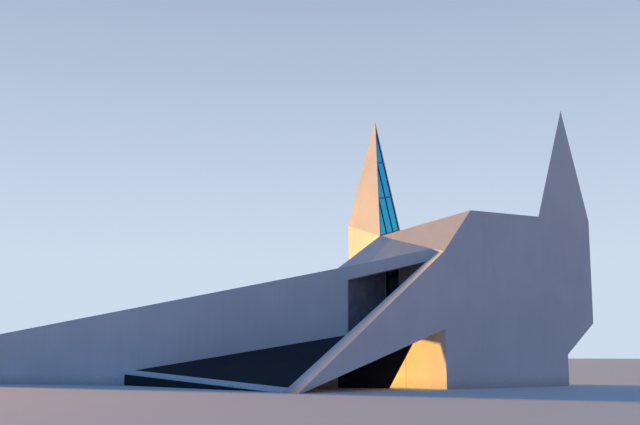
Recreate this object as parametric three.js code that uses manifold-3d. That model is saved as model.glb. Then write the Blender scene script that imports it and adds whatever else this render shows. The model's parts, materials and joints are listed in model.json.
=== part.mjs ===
// A small modern church of folded white planes: a nave with two glazed spires, a covered
// entrance and a rising ramp between a triangular parapet and a long tapering wall.
// Millimetres. X runs along the near wall, Y across the nave, Z is up from the lowest ground.

import * as THREE from 'three';
import { mergeVertices } from 'three/addons/utils/BufferGeometryUtils.js';
import Module from 'manifold-3d';

const wasm = await Module();
wasm.setup();

// Clearance between pieces that bear on each other
const JOINT = 0.3;

// Nave
const NAVE_LENGTH = 10100;
const NAVE_WIDTH = 7100;
const SIDE_WALL = 500;
const CROSS_WALL = 400;
const ROOF_DEPTH = 300;
const FLOOR_TOP = 3010;
const FLOOR_DEPTH = 300;

// Heights of the folded roof's corners
const KINK_HEIGHT = 6060;
const RIDGE_START = 1710;
const RIDGE_HEIGHT = 8080;
const EAVE_NEAR_END = 8280;
const EAVE_FAR_END = 8180;
const EAVE_FAR_FRONT = 8050;
const VALLEY_Y = 4530;
const VALLEY_HEIGHT = 7230;

// Undercut below the end wall
const UNDERCUT_X = 8070;
const UNDERCUT_Z = 1510;
const UNDERCUT_SLOPE = 0.768;
const SOFFIT_DEPTH = 440;

// Spires, each a three-sided pyramid flush with a long wall
const SPIRE_TOP = 13860;
const SPIRE_FROM_END = 1810;
const NEAR_SPIRE_WIDTH = 3780;
const FAR_SPIRE_WIDTH = 3450;
const SPIRE_REACH = NAVE_WIDTH - VALLEY_Y;
const SPIRE_PLATE = 100;
const SPIRE_FOOT_DEPTH = 500;
const GLASS_SETBACK = 25;
const GLASS_THICKNESS = 40;
const BAR_WIDTH = 45;
const PANE_ROWS = 3;
const SHAFT_INSET = 0.3;

// Entrance wall and long wall, one straight plane
const ENTRANCE_Y = 800;
const ENTRANCE_ANGLE = THREE.MathUtils.degToRad(53);
const ENTRANCE_TOP = 6195;
const ENTRANCE_FALL = 0.157;
const ENTRANCE_WALL = 350;
const LONG_WALL = 500;
const LONG_WALL_LENGTH = 39000;

// Portal and covered entrance
const JAMB_AT = 4010;
const JAMB_WIDTH = 460;
const LINTEL_HEIGHT = 5735;
const LINTEL_FALL = 0.198;
const FOLD_AT = 2870;
const FOLD_Y = 3690;
const FOOT_TOE = 2075;
const FOOT_RAKE = 0.56;
const FOOT_THICKNESS = 100;
const FOOT_TIP = 2050;
const FOOT_CREST_RISE = 0.42;
const FOOT_CREST_END = 2600;

// Parapet beside the ramp
const PARAPET_LENGTH = 7750;
const PARAPET_ROOT = 500;
const PARAPET_TIP = 1100;
const PARAPET_TOE = 40;
const PARAPET_UNDERSIDE = 2620;
const PARAPET_UNDERSIDE_SLOPE = 0.343;

// Ramp
const RAMP_START = 15570;
const RAMP_HEIGHT_START = 650;
const RAMP_HEIGHT_JAMB = 2400;
const RAMP_HEIGHT_TIP = 70;
const PAVING = 40;
const SLAB = 340;
const STRIP_WIDTH = 260;
const STRIP_RISE = 15;
const STRIP_HEIGHT = 110;

// Door
const DOOR_START = 3170;
const DOOR_END = 4140;
const DOOR_HEAD = 2700;
const FRAME_FACE = 55;
const FRAME_OUTSIDE = 20;
const FRAME_INSIDE = 140;
const TRANSOM_Z = 2250;
const LEAF_GAP = 6;
const LEAF_DRAUGHT = 2;
const LEAF_THICKNESS = 50;
const LEAF_OUTSIDE = FRAME_INSIDE - LEAF_THICKNESS;
const STOP = 16;
const LEAF_STILE = 90;
const PANE = 16;
const KNUCKLE_RADIUS = 9;
const KNUCKLE_LENGTH = 55;
const HANDLE_HEIGHT = 1050;
const HANDLE_LENGTH = 600;
const HANDLE_POSTS = 480;
const HANDLE_OFFSET = 50;
const GRIP_RADIUS = 14;
const POST_RADIUS = 9;
const HINGE_PLATE = 4;
const HINGE_PLATE_WIDTH = 45;
const HINGE_HEIGHTS = [250, 1100, 1950];

// Cutting shapes run past the building: by this much all round, or far beyond it
const MARGIN = 1000;
const REACH = 60000;
const WHITE = { color: 0xeceae4, roughness: 0.75, metalness: 0 };
const ASPHALT = { color: 0x2b2f36, roughness: 0.92, metalness: 0 };
const STRIP = { color: 0xdfe0de, roughness: 0.7, metalness: 0 };
const CONCRETE = { color: 0xa8a59e, roughness: 0.85, metalness: 0 };
const GLASS = { color: 0x9fd3e0, roughness: 0.08, metalness: 0, transparent: true, opacity: 0.45 };
const DARK_METAL = { color: 0x24282c, roughness: 0.45, metalness: 0.6 };

const building = new THREE.Group();

function toSolid(geometry) {
  geometry.deleteAttribute('normal');
  geometry.deleteAttribute('uv');
  const merged = mergeVertices(geometry, 0.01);
  return new wasm.Manifold(new wasm.Mesh({
    numProp: 3,
    vertProperties: new Float32Array(merged.attributes.position.array),
    triVerts: new Uint32Array(merged.index.array),
  }));
}

function addPiece(name, solid, finish) {
  const mesh = solid.getMesh();
  const geometry = new THREE.BufferGeometry();
  geometry.setAttribute('position', new THREE.BufferAttribute(mesh.vertProperties, 3));
  geometry.setIndex(new THREE.BufferAttribute(mesh.triVerts, 1));
  const piece = new THREE.Mesh(geometry, new THREE.MeshStandardMaterial(finish));
  piece.name = name;
  building.add(piece);
}

// A surface over the plan: level, or the plane through three points
const level = (height) => () => height;

function planeThrough(a, b, c) {
  const normal = new THREE.Vector3().crossVectors(b.clone().sub(a), c.clone().sub(a));
  return (x, y) => a.z - (normal.x * (x - a.x) + normal.y * (y - a.y)) / normal.z;
}

const lowered = (surface, drop) => (x, y) => surface(x, y) - drop;

// A solid that stands on a plan outline between two surfaces
function column(plan, bottom, top) {
  const outline = new THREE.Shape(plan.map(([x, y]) => new THREE.Vector2(x, y)));
  const geometry = new THREE.ExtrudeGeometry(outline, { depth: 1, bevelEnabled: false });
  const position = geometry.attributes.position;
  for (let i = 0; i < position.count; i += 1) {
    const surface = position.getZ(i) > 0.5 ? top : bottom;
    position.setZ(i, surface(position.getX(i), position.getY(i)));
  }
  return toSolid(geometry);
}

const rectangle = (x0, y0, x1, y1) => [[x0, y0], [x1, y0], [x1, y1], [x0, y1]];

const block = (x0, y0, z0, x1, y1, z1) => column(rectangle(x0, y0, x1, y1), level(z0), level(z1));

function joinAll(solids) {
  return solids.reduce((whole, solid) => whole.add(solid));
}

// A point of the entrance plane: distance along it from the nave, then depth behind it
const ALONG = new THREE.Vector2(-Math.cos(ENTRANCE_ANGLE), Math.sin(ENTRANCE_ANGLE));
const BEHIND = new THREE.Vector2(Math.sin(ENTRANCE_ANGLE), Math.cos(ENTRANCE_ANGLE));

function onEntrance(along, behind = 0) {
  return [
    ALONG.x * along + BEHIND.x * behind,
    ENTRANCE_Y + ALONG.y * along + BEHIND.y * behind,
  ];
}

const alongEntrance = (x, y) => x * ALONG.x + (y - ENTRANCE_Y) * ALONG.y;
const entranceTop = (x, y) => ENTRANCE_TOP - ENTRANCE_FALL * alongEntrance(x, y);
const portalHead = (x, y) => LINTEL_HEIGHT - LINTEL_FALL * alongEntrance(x, y);

function pointOnEntrance(along, height) {
  const [x, y] = onEntrance(along);
  return new THREE.Vector3(x, y, height);
}

// The roof's facets over the nave, each a plan triangle with its plane
const kink = new THREE.Vector3(0, 0, KINK_HEIGHT);
const ridge = new THREE.Vector3(RIDGE_START, 0, RIDGE_HEIGHT);
const nearEnd = new THREE.Vector3(NAVE_LENGTH, 0, EAVE_NEAR_END);
const farEnd = new THREE.Vector3(NAVE_LENGTH, NAVE_WIDTH, EAVE_FAR_END);
const farFront = new THREE.Vector3(0, NAVE_WIDTH, EAVE_FAR_FRONT);
const valley = new THREE.Vector3(0, VALLEY_Y, VALLEY_HEIGHT);

const NAVE_FACETS = {
  roof_front: [kink, ridge, valley],
  roof_near: [valley, ridge, nearEnd],
  roof_middle: [valley, nearEnd, farEnd],
  roof_far: [valley, farEnd, farFront],
};

function facetColumn(corners, bottom, drop = 0) {
  const top = planeThrough(...corners);
  const plan = corners.map((corner) => [corner.x, corner.y]);
  return column(plan, bottom(top), lowered(top, drop));
}

const naveBody = joinAll(Object.values(NAVE_FACETS).map((corners) => facetColumn(corners, () => level(0))));

// The wedge cut away below the end wall, across the whole nave
const undercut = (x) => UNDERCUT_Z + UNDERCUT_SLOPE * (x - UNDERCUT_X);

const undercutVoid = column(
  rectangle(UNDERCUT_X, -MARGIN, NAVE_LENGTH + MARGIN, NAVE_WIDTH + MARGIN),
  level(-MARGIN),
  undercut,
);

function addNaveWalls() {
  const nearWall = naveBody.intersect(block(0, 0, 0, NAVE_LENGTH, SIDE_WALL, REACH));
  addPiece('near_wall', nearWall.subtract(undercutVoid), WHITE);
  const farStart = NAVE_WIDTH - SIDE_WALL;
  const farWall = naveBody.intersect(block(0, farStart, 0, NAVE_LENGTH, NAVE_WIDTH, REACH));
  addPiece('far_wall', farWall.subtract(undercutVoid), WHITE);

  const inner = [SIDE_WALL + JOINT, farStart - JOINT];
  const frontSlice = (y0, y1, z0, z1) => naveBody.intersect(block(0, y0, z0, CROSS_WALL, y1, z1));
  const doorTop = FLOOR_TOP + DOOR_HEAD;
  addPiece('front_wall_near', frontSlice(inner[0], DOOR_START, 0, REACH), WHITE);
  addPiece('front_wall_far', frontSlice(DOOR_END, inner[1], 0, REACH), WHITE);
  addPiece('front_wall_under', frontSlice(DOOR_START + JOINT, DOOR_END - JOINT, 0, FLOOR_TOP), WHITE);
  addPiece('front_wall_over', frontSlice(DOOR_START + JOINT, DOOR_END - JOINT, doorTop, REACH), WHITE);

  const endStart = NAVE_LENGTH - CROSS_WALL;
  const endWall = naveBody.intersect(block(endStart, inner[0], 0, NAVE_LENGTH, inner[1], REACH));
  addPiece('end_wall', endWall.subtract(undercutVoid), WHITE);
  const soffitStart = UNDERCUT_X - CROSS_WALL;
  const soffitPlan = rectangle(soffitStart, inner[0], endStart - JOINT, inner[1]);
  addPiece('end_soffit', column(soffitPlan, undercut, lowered(undercut, -SOFFIT_DEPTH)), WHITE);
  const footPlan = rectangle(soffitStart, inner[0], UNDERCUT_X, inner[1]);
  addPiece('end_foot', column(footPlan, level(0), lowered(undercut, JOINT)), WHITE);
}

function addNaveFloor() {
  const soffitMeets = UNDERCUT_X + (FLOOR_TOP - FLOOR_DEPTH - SOFFIT_DEPTH - UNDERCUT_Z) / UNDERCUT_SLOPE;
  addPiece('nave_floor', block(
    CROSS_WALL + JOINT,
    SIDE_WALL + JOINT,
    FLOOR_TOP - FLOOR_DEPTH,
    soffitMeets - JOINT,
    NAVE_WIDTH - SIDE_WALL - JOINT,
    FLOOR_TOP,
  ), CONCRETE);
}

// The two spires: apex, outer corners on the long wall's face, inner corner on the cross wall
function onFacet(name, x, y) {
  return new THREE.Vector3(x, y, planeThrough(...NAVE_FACETS[name])(x, y));
}

const NEAR_SPIRE = {
  name: 'near_spire',
  apex: new THREE.Vector3(NAVE_LENGTH - SPIRE_FROM_END, 0, SPIRE_TOP),
  foot: onFacet('roof_near', NAVE_LENGTH - NEAR_SPIRE_WIDTH, 0),
  corner: nearEnd,
  reach: onFacet('roof_middle', NAVE_LENGTH, SPIRE_REACH),
};
const FAR_SPIRE = {
  name: 'far_spire',
  apex: new THREE.Vector3(SPIRE_FROM_END, NAVE_WIDTH, SPIRE_TOP),
  foot: onFacet('roof_far', FAR_SPIRE_WIDTH, NAVE_WIDTH),
  corner: farFront,
  reach: valley,
};

// A three-sided pyramid whose edges run on below the roof
function pyramid(apex, feet) {
  const below = feet.map((foot) => {
    const drop = (apex.z - VALLEY_HEIGHT + SPIRE_FOOT_DEPTH) / (apex.z - foot.z);
    return apex.clone().lerp(foot, drop);
  });
  const turn = new THREE.Vector3().crossVectors(below[1].clone().sub(below[0]), below[2].clone().sub(below[0]));
  const [a, b, c] = turn.z > 0 ? below : [below[0], below[2], below[1]];
  const faces = [a, c, b, a, b, apex, b, c, apex, c, a, apex];
  const geometry = new THREE.BufferGeometry().setFromPoints(faces);
  return toSolid(geometry);
}

// The plane of three points, moved a depth towards a point inside
function faceAt(corners, inside, depth = 0) {
  const plane = new THREE.Plane().setFromCoplanarPoints(...corners);
  if (plane.distanceToPoint(inside) < 0) {
    plane.negate();
  }
  plane.constant -= depth;
  return plane;
}

// The layer of space from one depth to another behind a face
function layer(corners, inside, from, to) {
  const { normal } = faceAt(corners, inside);
  const box = new THREE.BoxGeometry(REACH, REACH, to - from);
  box.applyQuaternion(new THREE.Quaternion().setFromUnitVectors(new THREE.Vector3(0, 0, 1), normal));
  const middle = corners[0].clone().addScaledVector(normal, (from + to) / 2);
  box.translate(middle.x, middle.y, middle.z);
  return toSolid(box);
}

// The point where three planes meet
function meetingPoint(a, b, c) {
  const bc = new THREE.Vector3().crossVectors(b.normal, c.normal);
  const ca = new THREE.Vector3().crossVectors(c.normal, a.normal);
  const ab = new THREE.Vector3().crossVectors(a.normal, b.normal);
  const sum = bc.clone().multiplyScalar(-a.constant);
  sum.addScaledVector(ca, -b.constant).addScaledVector(ab, -c.constant);
  return sum.divideScalar(a.normal.dot(bc));
}

// A slab of space that stands square on a face, along a line in it
function barSpace(start, end, width, faceNormal) {
  const run = end.clone().sub(start);
  const across = new THREE.Vector3().crossVectors(faceNormal, run).normalize();
  const box = new THREE.BoxGeometry(width, REACH, run.length());
  box.applyMatrix4(new THREE.Matrix4().makeBasis(across, faceNormal.clone(), run.clone().normalize()));
  const middle = start.clone().lerp(end, 0.5);
  box.translate(middle.x, middle.y, middle.z);
  return toSolid(box);
}

// The space that stands square on a face, over a triangle in it
function triangleSpace(corners, faceNormal) {
  const [a, b, c] = corners;
  const front = corners.map((corner) => corner.clone().addScaledVector(faceNormal, -REACH));
  const back = corners.map((corner) => corner.clone().addScaledVector(faceNormal, REACH));
  const turn = new THREE.Vector3().crossVectors(b.clone().sub(a), c.clone().sub(a));
  const [i, j, k] = turn.dot(faceNormal) > 0 ? [0, 1, 2] : [0, 2, 1];
  const ends = [front[i], front[k], front[j], back[i], back[j], back[k]];
  const sides = [[i, j], [j, k], [k, i]].flatMap(
    ([m, n]) => [front[m], front[n], back[n], front[m], back[n], back[m]],
  );
  return toSolid(new THREE.BufferGeometry().setFromPoints([...ends, ...sides]));
}

// Rows of panes, one more pane in each row down
function addGlazing(name, { apex, foot, corner, reach }, centre, opening) {
  const glazed = [apex, reach, foot];
  const face = faceAt(glazed, centre);
  const openingCorners = (edge) => {
    const outer = faceAt([apex, foot, corner], centre, SPIRE_PLATE + edge);
    const side = faceAt([apex, corner, reach], centre, SPIRE_PLATE + edge);
    const base = faceAt([foot, corner, reach], centre, edge);
    return [meetingPoint(face, outer, side), meetingPoint(face, side, base), meetingPoint(face, outer, base)];
  };
  const [top, left, right] = openingCorners(0);
  let openPanes = triangleSpace(openingCorners(BAR_WIDTH), face.normal);
  for (let row = 1; row < PANE_ROWS; row += 1) {
    const down = row / PANE_ROWS;
    const onLeft = top.clone().lerp(left, down);
    const flat = barSpace(onLeft, top.clone().lerp(right, down), BAR_WIDTH, face.normal);
    const sloping = barSpace(onLeft, right.clone().lerp(left, down), BAR_WIDTH, face.normal);
    openPanes = openPanes.subtract(flat).subtract(sloping);
  }
  const barZone = opening.intersect(layer(glazed, centre, 0, GLASS_SETBACK - JOINT));
  addPiece(`${name}_bars`, barZone.subtract(openPanes), DARK_METAL);
  const glassEnd = GLASS_SETBACK + GLASS_THICKNESS;
  addPiece(`${name}_glass`, opening.intersect(layer(glazed, centre, GLASS_SETBACK, glassEnd)), GLASS);
}

function addSpire(spire) {
  const { name, apex, foot, corner, reach } = spire;
  const centre = apex.clone().add(foot).add(corner).add(reach).multiplyScalar(0.25);
  const overNave = block(0, 0, 0, NAVE_LENGTH, NAVE_WIDTH, REACH);
  const aboveRoof = overNave.subtract(naveBody.translate([0, 0, JOINT]));
  const whole = pyramid(apex, [foot, corner, reach]).intersect(aboveRoof);
  const outer = [apex, foot, corner];
  const side = [apex, corner, reach];
  addPiece(`${name}_face`, whole.intersect(layer(outer, centre, 0, SPIRE_PLATE)), WHITE);
  const behindFace = whole.subtract(layer(outer, centre, -SPIRE_PLATE, SPIRE_PLATE + JOINT));
  addPiece(`${name}_side`, behindFace.intersect(layer(side, centre, 0, SPIRE_PLATE)), WHITE);
  const opening = behindFace.subtract(layer(side, centre, -SPIRE_PLATE, SPIRE_PLATE + JOINT));
  addGlazing(name, spire, centre, opening);
}

// The light shaft under a spire, open to the nave through the roof
function lightShaft({ foot, corner, reach }) {
  const corners = [foot, corner, reach];
  const centre = corners.reduce((sum, point) => sum.add(point), new THREE.Vector3()).divideScalar(3);
  const plan = corners.map((point) => point.clone().lerp(centre, SHAFT_INSET));
  return column(plan.map((point) => [point.x, point.y]), level(0), level(SPIRE_TOP));
}

function addNaveRoof() {
  const inside = block(
    CROSS_WALL + JOINT,
    SIDE_WALL + JOINT,
    0,
    NAVE_LENGTH - CROSS_WALL - JOINT,
    NAVE_WIDTH - SIDE_WALL - JOINT,
    REACH,
  );
  const shafts = lightShaft(NEAR_SPIRE).add(lightShaft(FAR_SPIRE));
  let placed = null;
  for (const [name, corners] of Object.entries(NAVE_FACETS)) {
    const plate = facetColumn(corners, (top) => lowered(top, ROOF_DEPTH));
    let piece = plate.intersect(inside).subtract(shafts);
    if (placed) {
      piece = piece.subtract(placed);
    }
    addPiece(name, piece, WHITE);
    const grown = facetColumn(corners, () => level(0), -MARGIN).translate([0, JOINT, 0]);
    placed = placed ? placed.add(grown) : grown;
  }
}

// Covered entrance between the entrance plane and the nave's front wall
const frontTop = planeThrough(...NAVE_FACETS.roof_front);
const fold = new THREE.Vector3(0, FOLD_Y, frontTop(0, FOLD_Y));
const entranceCorner = pointOnEntrance(0, frontTop(0, ENTRANCE_Y));
const foldFoot = pointOnEntrance(FOLD_AT, ENTRANCE_TOP - ENTRANCE_FALL * FOLD_AT);
const OUTER_JAMB = JAMB_AT + JAMB_WIDTH;
const leftFoot = pointOnEntrance(OUTER_JAMB, ENTRANCE_TOP - ENTRANCE_FALL * OUTER_JAMB);
const leftPlane = planeThrough(fold, foldFoot, leftFoot);
const leftBack = new THREE.Vector3(-JOINT, VALLEY_Y, leftPlane(0, VALLEY_Y));
const foldEdge = new THREE.Vector3(-JOINT, FOLD_Y, fold.z);
const cornerEdge = new THREE.Vector3(-JOINT, ENTRANCE_Y, entranceCorner.z);

const leftPlan = [foldEdge, foldFoot, leftFoot, leftBack].map((point) => [point.x, point.y]);
const rightPlan = [foldEdge, cornerEdge, foldFoot].map((point) => [point.x, point.y]);
const rightPlane = planeThrough(fold, entranceCorner, foldFoot);

const endLineStart = new THREE.Vector2(...onEntrance(OUTER_JAMB));
const endLine = new THREE.Vector2(0, VALLEY_Y).sub(endLineStart).normalize();

// The plan beyond a line beside the end wall's outer face, from a point of the entrance plane
function beyondEndWall(along) {
  const jamb = new THREE.Vector2(...onEntrance(along));
  const outward = new THREE.Vector2(-endLine.y, endLine.x);
  const start = jamb.clone().addScaledVector(endLine, -SIDE_WALL);
  const finish = jamb.clone().addScaledVector(endLine, NAVE_WIDTH);
  const outline = [start, finish, finish.clone().addScaledVector(outward, NAVE_WIDTH)];
  outline.push(start.clone().addScaledVector(outward, NAVE_WIDTH));
  return outline.map((point) => [point.x, point.y]);
}

function entranceStrip(from, to, front = 0, back = ENTRANCE_WALL) {
  return [onEntrance(from, front), onEntrance(to, front), onEntrance(to, back), onEntrance(from, back)];
}

const rampTop = planeThrough(
  pointOnEntrance(RAMP_START, RAMP_HEIGHT_START),
  pointOnEntrance(JAMB_AT, RAMP_HEIGHT_JAMB),
  new THREE.Vector3(-PARAPET_LENGTH, PARAPET_TIP, RAMP_HEIGHT_TIP),
);
const porchTop = planeThrough(
  pointOnEntrance(JAMB_AT, RAMP_HEIGHT_JAMB),
  pointOnEntrance(0, rampTop(0, ENTRANCE_Y)),
  new THREE.Vector3(0, DOOR_END, FLOOR_TOP),
);

function addEntrance() {
  const porch = column(leftPlan, level(0), leftPlane).add(column(rightPlan, level(0), rightPlane));
  const endStrip = column(beyondEndWall(JAMB_AT), level(-MARGIN), level(REACH));
  const endZone = endStrip.add(endStrip.translate([0, -JOINT, 0]));
  const wallPlan = entranceStrip(-2 * MARGIN, OUTER_JAMB + MARGIN);
  const wallStrip = column(wallPlan, level(-MARGIN), level(REACH));
  const porchFloor = PAVING + SLAB;
  const outside = rectangle(-REACH / 2, -MARGIN, 0, REACH / 2);
  const aboveFloor = column(outside, lowered(porchTop, porchFloor), level(REACH));

  const endWall = porch.intersect(endStrip).intersect(aboveFloor);
  addPiece('porch_end_wall', endWall, WHITE);
  const overPortal = column(rectangle(-REACH / 2, 0, 0, REACH / 2), portalHead, level(REACH));
  const lintel = porch.intersect(wallStrip).intersect(overPortal).subtract(endZone);
  addPiece('entrance_lintel', lintel, WHITE);

  const inside = porch.subtract(endZone);
  const wallBack = ENTRANCE_WALL + JOINT;
  const behindWall = [onEntrance(-2 * MARGIN, wallBack), onEntrance(2 * JAMB_AT, wallBack), [REACH, REACH]];
  const clearOfWall = column(behindWall, level(-MARGIN), level(REACH));
  const leftRoof = column(leftPlan, lowered(leftPlane, ROOF_DEPTH), leftPlane);
  const rightRoof = column(rightPlan, lowered(rightPlane, ROOF_DEPTH), rightPlane);
  const rightGap = column(rightPlan, level(0), level(REACH)).translate([0, JOINT, 0]);
  addPiece('porch_roof_right', rightRoof.intersect(inside).intersect(clearOfWall), WHITE);
  addPiece('porch_roof_left', leftRoof.intersect(inside).intersect(clearOfWall).subtract(rightGap), WHITE);

  const floorPlan = [[-JOINT, ENTRANCE_Y], onEntrance(OUTER_JAMB), [-JOINT, VALLEY_Y]];
  const floorBody = column(floorPlan, lowered(porchTop, PAVING + SLAB), lowered(porchTop, PAVING + JOINT));
  addPiece('porch_floor', floorBody.subtract(endZone), CONCRETE);
  const coverBody = column(floorPlan, lowered(porchTop, PAVING), porchTop);
  addPiece('porch_paving', coverBody.subtract(endZone), ASPHALT);

  // The foot leans out to a tip and is open above it, so that low sun passes to the nave
  const footRake = (x, y) => (FOOT_TOE - alongEntrance(x, y)) / FOOT_RAKE;
  const tipAt = FOOT_TOE - FOOT_RAKE * FOOT_TIP;
  const footCrest = (x, y) => FOOT_TIP + FOOT_CREST_RISE * (alongEntrance(x, y) - tipAt);
  const footPlan = entranceStrip(0, OUTER_JAMB, 0, FOOT_THICKNESS);
  const footTop = lowered(porchTop, PAVING + SLAB + JOINT);
  const foot = column(footPlan, level(0), footTop);
  const raked = column(entranceStrip(-MARGIN, FOOT_TOE, -MARGIN, NAVE_WIDTH), level(-MARGIN), footRake);
  const besideNave = block(-REACH / 2, 0, -MARGIN, -JOINT, REACH / 2, REACH);
  const longWallSide = column(beyondEndWall(OUTER_JAMB), level(-MARGIN), level(REACH));
  const crestPlan = entranceStrip(-MARGIN, FOOT_CREST_END, -MARGIN, NAVE_WIDTH);
  const aboveCrest = column(crestPlan, footCrest, level(REACH));
  const shapedFoot = foot.subtract(raked).subtract(aboveCrest).subtract(longWallSide);
  addPiece('entrance_foot', shapedFoot.intersect(besideNave), ASPHALT);
}

function addLongWall() {
  const backStart = new THREE.Vector2(...onEntrance(OUTER_JAMB, LONG_WALL));
  const away = (backStart.y - endLineStart.y) - (backStart.x - endLineStart.x) * (endLine.y / endLine.x);
  const back = away / (ALONG.y - ALONG.x * (endLine.y / endLine.x));
  const butt = backStart.clone().addScaledVector(ALONG, -back);
  const plan = [
    onEntrance(OUTER_JAMB + JOINT),
    onEntrance(LONG_WALL_LENGTH),
    onEntrance(LONG_WALL_LENGTH, LONG_WALL),
    [butt.x + JOINT, butt.y + JOINT],
  ];
  addPiece('long_wall', column(plan, level(0), entranceTop), WHITE);
}

function addParapet() {
  const plan = [[-PARAPET_LENGTH, 0], [-JOINT, 0], [-JOINT, PARAPET_ROOT], [-PARAPET_LENGTH, PARAPET_TIP]];
  const underside = (x) => PARAPET_UNDERSIDE + PARAPET_UNDERSIDE_SLOPE * x;
  const rise = (KINK_HEIGHT - PARAPET_TOE) / PARAPET_LENGTH;
  const top = (x) => KINK_HEIGHT + rise * x;
  const aboveGround = block(-REACH, -MARGIN, 0, REACH, REACH, REACH);
  addPiece('near_parapet', column(plan, underside, top).intersect(aboveGround), WHITE);
}

// The ramp's plan, and the band of it along the low edge, from the long wall to the parapet's tip
const rampStart = new THREE.Vector2(...onEntrance(RAMP_START, -JOINT));
const rampTip = new THREE.Vector2(-PARAPET_LENGTH, PARAPET_TIP + JOINT);
const lowEdge = rampTip.clone().sub(rampStart).normalize();
const upRamp = new THREE.Vector2(-lowEdge.y, lowEdge.x);
const rampPlan = [
  [rampStart.x, rampStart.y],
  [rampTip.x, rampTip.y],
  [-JOINT, PARAPET_ROOT + JOINT],
  onEntrance(0, -JOINT),
];

function lowEdgeBand(width) {
  const start = rampStart.clone().addScaledVector(lowEdge, -STRIP_WIDTH);
  const finish = rampTip.clone().addScaledVector(lowEdge, STRIP_WIDTH);
  const corners = [start, finish];
  corners.push(finish.clone().addScaledVector(upRamp, width), start.clone().addScaledVector(upRamp, width));
  return column(corners.map((point) => [point.x, point.y]), level(-MARGIN), level(REACH));
}

function rampLayer(bottom, top) {
  return column(rampPlan, bottom, top).intersect(block(-REACH, -MARGIN, 0, REACH, REACH, REACH));
}

function addRamp() {
  const band = lowEdgeBand(STRIP_WIDTH);
  const besideBand = lowEdgeBand(STRIP_WIDTH + JOINT);
  const strip = rampLayer(lowered(rampTop, STRIP_HEIGHT), lowered(rampTop, -STRIP_RISE));
  addPiece('threshold_strip', strip.intersect(band), STRIP);
  const base = rampLayer(level(-MARGIN), lowered(rampTop, STRIP_HEIGHT + JOINT));
  addPiece('threshold_base', base.intersect(band), ASPHALT);
  const paving = rampLayer(lowered(rampTop, PAVING), rampTop);
  addPiece('ramp_paving', paving.subtract(besideBand), ASPHALT);
  const slab = rampLayer(lowered(rampTop, PAVING + SLAB), lowered(rampTop, PAVING + JOINT));
  addPiece('ramp_slab', slab.subtract(besideBand), CONCRETE);
}

// Glazed door near the front wall's outer face, hung on its far jamb and opening into the nave
const frameStart = DOOR_START + JOINT;
const frameEnd = DOOR_END - JOINT;
const leafStart = frameStart + FRAME_FACE + LEAF_GAP;
const leafEnd = frameEnd - FRAME_FACE - LEAF_GAP;
const leafBottom = FLOOR_TOP + LEAF_GAP + LEAF_DRAUGHT;
const leafTop = FLOOR_TOP + TRANSOM_Z - LEAF_GAP;
const hingeX = FRAME_INSIDE + KNUCKLE_RADIUS + 2 * JOINT;
const hingeY = leafEnd + LEAF_GAP;

// A frame of one face width; where the foot is zero it has no bottom member
function ringOf([x0, y0, z0], [x1, y1, z1], face, foot = 0) {
  const inside = block(x0 - face, y0 + face, foot > 0 ? z0 + foot : z0 - face, x1 + face, y1 - face, z1 - face);
  return block(x0, y0, z0, x1, y1, z1).subtract(inside);
}

function hingeKnuckle(bottom) {
  const barrel = new THREE.CylinderGeometry(KNUCKLE_RADIUS, KNUCKLE_RADIUS, KNUCKLE_LENGTH, 16);
  barrel.rotateX(Math.PI / 2);
  barrel.translate(hingeX, hingeY, bottom + KNUCKLE_LENGTH / 2);
  return toSolid(barrel);
}

function addDoorFrame() {
  const sill = FLOOR_TOP + JOINT;
  const head = FLOOR_TOP + DOOR_HEAD - JOINT;
  const transom = FLOOR_TOP + TRANSOM_Z;
  const surround = ringOf([FRAME_OUTSIDE, frameStart, sill], [FRAME_INSIDE, frameEnd, head], FRAME_FACE);
  const rail = block(FRAME_OUTSIDE, frameStart, transom, FRAME_INSIDE, frameEnd, transom + FRAME_FACE);
  const stop = ringOf(
    [FRAME_OUTSIDE, frameStart, sill],
    [LEAF_OUTSIDE - LEAF_GAP, frameEnd, transom + FRAME_FACE],
    FRAME_FACE + STOP,
  );
  addPiece('door_frame', surround.add(rail).add(stop), DARK_METAL);
  addPiece('transom_glass', block(
    LEAF_OUTSIDE,
    frameStart + FRAME_FACE + JOINT,
    transom + FRAME_FACE + JOINT,
    LEAF_OUTSIDE + PANE,
    frameEnd - FRAME_FACE - JOINT,
    head - FRAME_FACE - JOINT,
  ), GLASS);
}

function addDoorLeaf() {
  const near = [LEAF_OUTSIDE, leafStart, leafBottom];
  const leaf = ringOf(near, [FRAME_INSIDE, leafEnd, leafTop], LEAF_STILE, LEAF_STILE);
  addPiece('door_leaf', leaf, DARK_METAL);
  const paneStart = (LEAF_OUTSIDE + FRAME_INSIDE - PANE) / 2;
  const rim = LEAF_STILE + JOINT;
  addPiece('door_glass', block(
    paneStart,
    leafStart + rim,
    leafBottom + rim,
    paneStart + PANE,
    leafEnd - rim,
    leafTop - rim,
  ), GLASS);
}

function addHinges() {
  const plateStart = FRAME_INSIDE + JOINT;
  const plateEnd = FRAME_INSIDE + HINGE_PLATE;
  HINGE_HEIGHTS.forEach((height, index) => {
    const lower = leafBottom + height;
    const upper = lower + KNUCKLE_LENGTH + JOINT;
    const framePlate = block(plateStart, hingeY, lower, plateEnd, frameEnd, lower + KNUCKLE_LENGTH);
    addPiece(`frame_hinge_${index + 1}`, hingeKnuckle(lower).add(framePlate), DARK_METAL);
    const plateFar = leafEnd - HINGE_PLATE_WIDTH;
    const leafPlate = block(plateStart, plateFar, upper, plateEnd, hingeY, upper + KNUCKLE_LENGTH);
    addPiece(`leaf_hinge_${index + 1}`, hingeKnuckle(upper).add(leafPlate), DARK_METAL);
  });
}

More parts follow.
